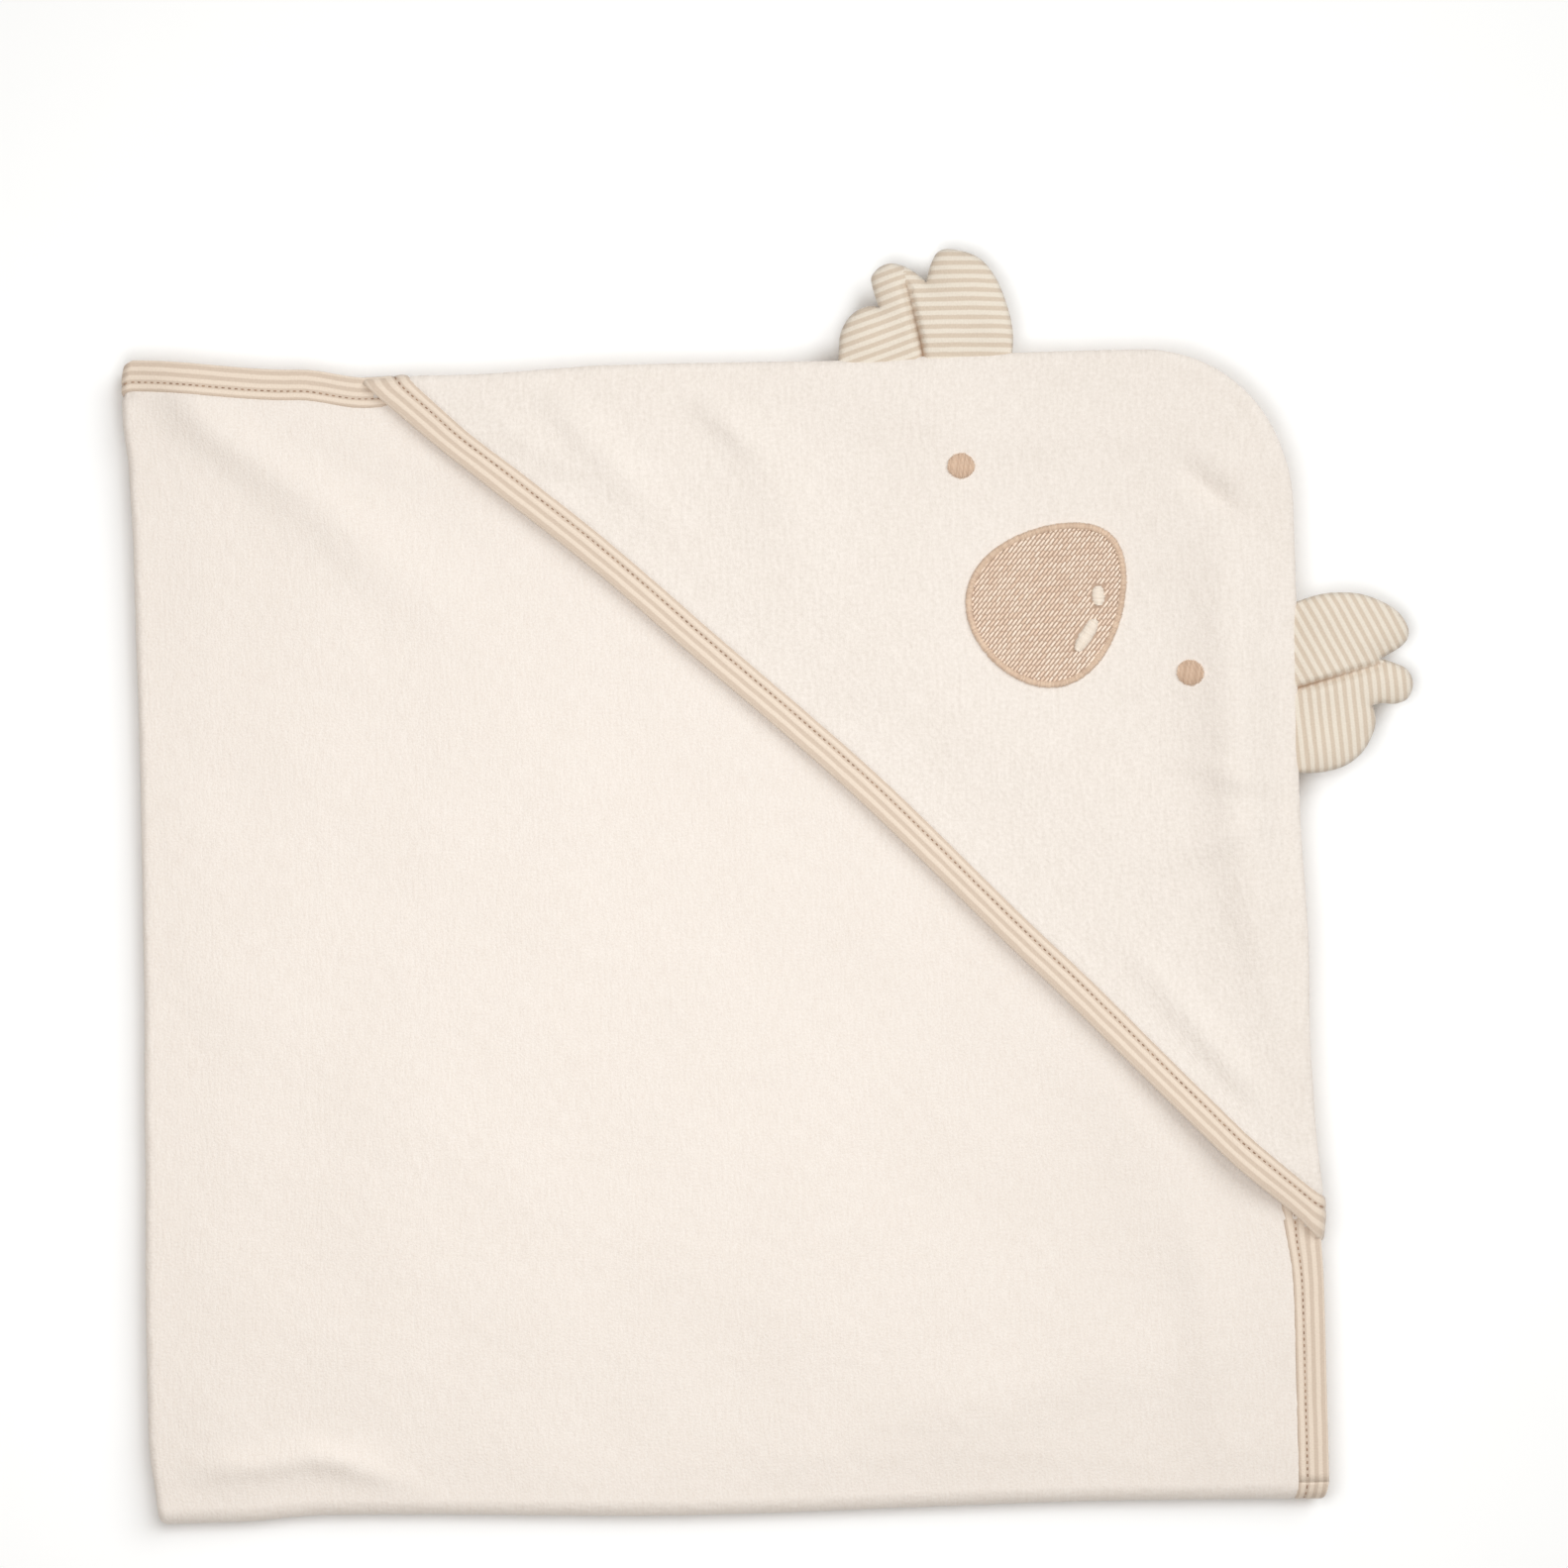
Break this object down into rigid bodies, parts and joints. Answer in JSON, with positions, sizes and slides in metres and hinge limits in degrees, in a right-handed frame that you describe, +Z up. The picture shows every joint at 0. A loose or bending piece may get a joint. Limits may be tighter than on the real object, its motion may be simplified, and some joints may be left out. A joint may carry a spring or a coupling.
{
  "type": "folded hooded baby towel",
  "caption": "Hooded baby towel folded into a flat square pack, with a striped binding, an embroidered animal face on the hood and stuffed ears.",
  "frame": {"origin": "middle of the underside of the folded pack, between the two folds and the two bound edges", "axes": "+Z up through the four layers, +X from the side fold towards the bound side edge, +Y from the foot fold towards the bound top edge, so the hood's corner is at +X +Y"},
  "size_m": [0.4208, 0.4079, 0.0162],
  "materials": {
    "terry": "fine terry knit, soft and matt",
    "hood_terry": "looped terry, soft and matt",
    "binding": "cream and tan striped rib knit",
    "topstitch": "tan sewing thread",
    "backing": "thin non-woven",
    "nose_thread": "tan embroidery fill stitch",
    "border_thread": "tan satin stitch",
    "highlight_thread": "off-white satin stitch",
    "eye_thread": "tan satin stitch",
    "filling": "polyester wadding"
  },
  "bodies": {
    "hood_quarter": {"quarter_hood": "terry", "edge_binding_hood": "binding", "edge_topstitch_hood": "topstitch", "hood_seam": "terry", "side_bend_upper": "terry", "side_bend_upper_binding": "binding", "foot_bend_outer": "terry", "foot_bend_outer_binding": "binding"},
    "side_quarter": {"quarter_side": "terry", "edge_binding_side": "binding", "edge_topstitch_side": "topstitch", "foot_bend_inner": "terry", "foot_bend_inner_binding": "binding"},
    "opposite_quarter": {"quarter_opposite": "terry", "edge_binding_opposite": "binding", "edge_topstitch_opposite": "topstitch", "side_bend_lower": "terry", "side_bend_lower_binding": "binding"},
    "foot_quarter": {"quarter_foot": "terry", "edge_binding_foot": "binding", "edge_topstitch_foot": "topstitch"},
    "hood": {"hood_panel": "hood_terry", "hood_binding": "binding", "hood_topstitch": "topstitch", "embroidery_backing": "backing", "nose_fill": "nose_thread", "nose_border": "border_thread", "nose_highlights": "highlight_thread", "eye_top": "eye_thread", "eye_side": "eye_thread"},
    "ear_top": {"ear_top_front": "binding", "ear_top_back": "binding", "ear_top_filling": "filling"},
    "ear_side": {"ear_side_front": "binding", "ear_side_back": "binding", "ear_side_filling": "filling"}
  },
  "joints": [
    {"name": "side_fold", "type": "hinge", "parent": "hood_quarter", "child": "side_quarter", "pos_m": [-0.1882, 0, 0.0088], "axis": [0, 1, 0], "range_deg": [0, 180], "deforming": ["side_bend_upper", "side_bend_upper_binding"]},
    {"name": "foot_fold", "type": "hinge", "parent": "side_quarter", "child": "opposite_quarter", "pos_m": [0, -0.1807, 0.0058], "axis": [-1, 0, 0], "range_deg": [0, 180], "deforming": ["foot_bend_inner", "foot_bend_inner_binding", "foot_bend_outer", "foot_bend_outer_binding"]},
    {"name": "side_fold_back", "type": "hinge", "parent": "opposite_quarter", "child": "foot_quarter", "pos_m": [-0.1882, 0, 0.0028], "axis": [0, 1, 0], "range_deg": [0, 180], "deforming": ["side_bend_lower", "side_bend_lower_binding"]},
    {"name": "hood_open", "type": "hinge", "parent": "hood_quarter", "child": "hood", "pos_m": [0.17423, 0.16973, 0.0124], "axis": [-0.7071, 0.7071, 0], "range_deg": [0, 24]},
    {"name": "ear_top_flex", "type": "hinge", "parent": "hood_quarter", "child": "ear_top", "pos_m": [0.07, 0.1855, 0.012], "axis": [1, 0, 0], "range_deg": [-60, 65], "stiffness_Nm_per_rad": 0.02},
    {"name": "ear_side_flex", "type": "hinge", "parent": "hood_quarter", "child": "ear_side", "pos_m": [0.19, 0.0775, 0.012], "axis": [0, -1, 0], "range_deg": [-60, 65], "stiffness_Nm_per_rad": 0.02}
  ],
  "couplings": [
    {"joint": "foot_fold", "follows": "side_fold", "ratio": 1},
    {"joint": "side_fold_back", "follows": "side_fold", "ratio": 1}
  ]
}
